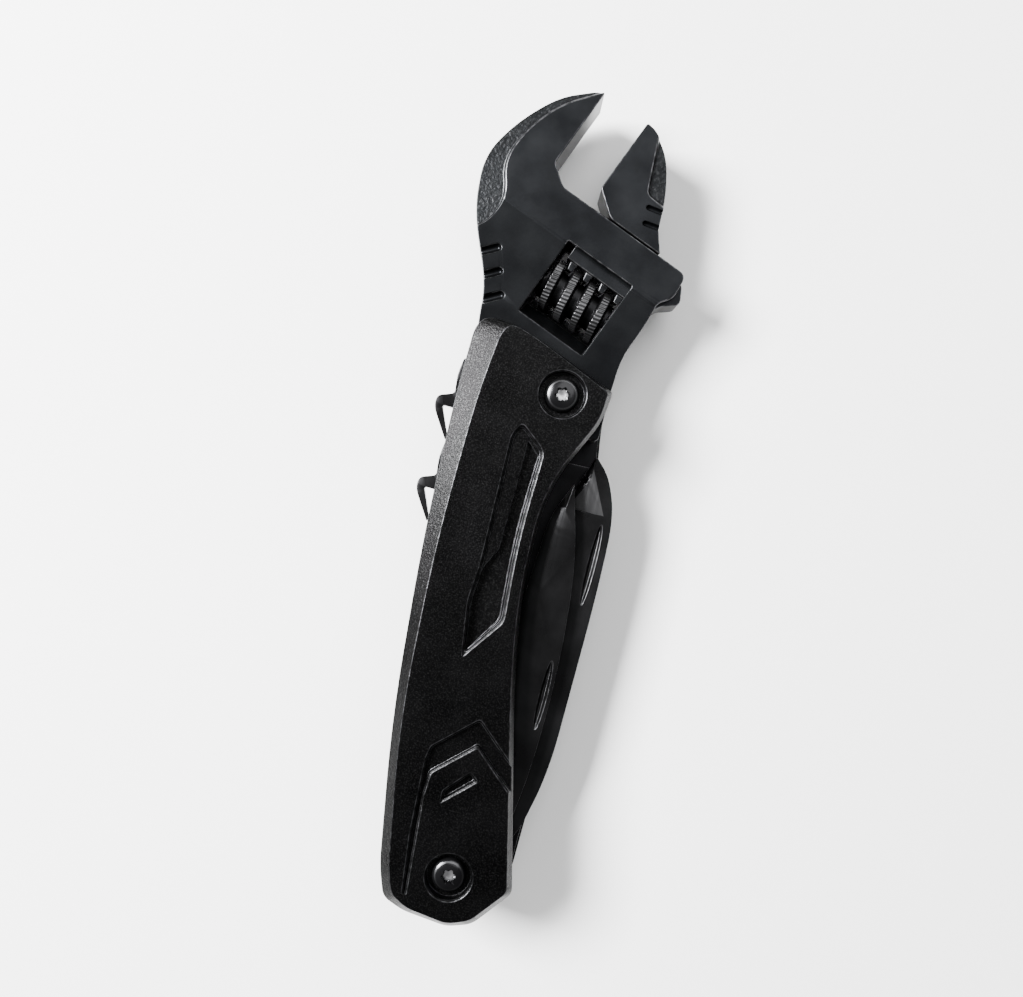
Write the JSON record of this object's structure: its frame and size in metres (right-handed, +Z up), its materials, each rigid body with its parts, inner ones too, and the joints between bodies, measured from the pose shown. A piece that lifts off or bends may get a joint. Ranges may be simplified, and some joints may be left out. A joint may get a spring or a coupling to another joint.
{
  "type": "folding wrench multi-tool",
  "caption": "Folding pocket multi-tool: a worm-driven adjustable wrench head on a screwed metal handle with fold-out blades and openers.",
  "frame": {"origin": "middle of the bottom of the bounding box, on the face the tool lies on", "axes": "+Y lengthwise from the bottom axle to the wrench head, +Z up through the front scale, +X to the blades' side"},
  "size_m": [0.0438, 0.1636, 0.0188],
  "materials": {
    "anodised_scale": "bead-blasted black anodised aluminium, worn bright along the bevels",
    "forged_steel": "dark gunmetal satin forged steel, coarse in the recessed pads",
    "black_worm": "black oxide, knurled crests rubbed bright",
    "blade_steel": "black-coated brushed blade steel",
    "liner_steel": "dark brushed sheet steel",
    "spring_steel": "blued spring steel",
    "screw_black": "glossy black oxide",
    "bronze_washer": "rolled bronze shim"
  },
  "bodies": {
    "handle": {"front_scale": "anodised_scale", "rear_scale": "anodised_scale", "front_liner": "liner_steel", "rear_liner": "liner_steel", "centre_liner": "liner_steel", "top_axle": "spring_steel", "bottom_axle": "spring_steel", "top_screw_front": "screw_black", "top_screw_rear": "screw_black", "bottom_screw_front": "screw_black", "bottom_screw_rear": "screw_black", "front_washer": "bronze_washer", "blade_washer": "bronze_washer", "opener_washer": "bronze_washer", "rear_washer": "bronze_washer", "tang_pin": "spring_steel", "left_spring_pin_lower": "spring_steel", "left_spring_pin_upper": "spring_steel", "right_spring_pin_lower": "spring_steel", "right_spring_pin_upper": "spring_steel", "small_blade_spring": "spring_steel", "large_blade_spring": "spring_steel", "can_opener_spring": "spring_steel", "bottle_opener_spring": "spring_steel", "wrench_head": "forged_steel", "worm_pin": "spring_steel", "worm_spring": "spring_steel"},
    "jaw": {"movable_jaw": "forged_steel"},
    "worm": {"adjusting_worm": "black_worm"},
    "small_blade_body": {"small_blade": "blade_steel"},
    "large_blade_body": {"large_blade": "blade_steel"},
    "can_opener_body": {"can_opener": "blade_steel"},
    "bottle_opener_body": {"bottle_opener": "blade_steel"}
  },
  "joints": [
    {"name": "jaw_slide", "type": "slide", "parent": "handle", "child": "jaw", "axis": [0.9239, -0.3827, 0], "range_m": [-0.0099, 0.007]},
    {"name": "worm_turn", "type": "hinge", "parent": "handle", "child": "worm", "pos_m": [0.00181, 0.04181, 0.0094], "axis": [0.9239, -0.3827, 0], "range_deg": [-690, 970]},
    {"name": "small_blade_fold", "type": "hinge", "parent": "handle", "child": "small_blade_body", "pos_m": [0.00346, -0.07216, 0.01315], "axis": [0, 0, 1], "range_deg": [-180, 0]},
    {"name": "large_blade_fold", "type": "hinge", "parent": "handle", "child": "large_blade_body", "pos_m": [0.00346, -0.07216, 0.0106], "axis": [0, 0, 1], "range_deg": [-180, 0]},
    {"name": "can_opener_fold", "type": "hinge", "parent": "handle", "child": "can_opener_body", "pos_m": [0.00346, -0.07216, 0.0078], "axis": [0, 0, 1], "range_deg": [0, 180]},
    {"name": "bottle_opener_fold", "type": "hinge", "parent": "handle", "child": "bottle_opener_body", "pos_m": [0.00346, -0.07216, 0.0056], "axis": [0, 0, 1], "range_deg": [0, 180]}
  ],
  "couplings": [
    {"joint": "worm_turn", "follows": "jaw_slide", "rad_per_m": -1698.2}
  ]
}
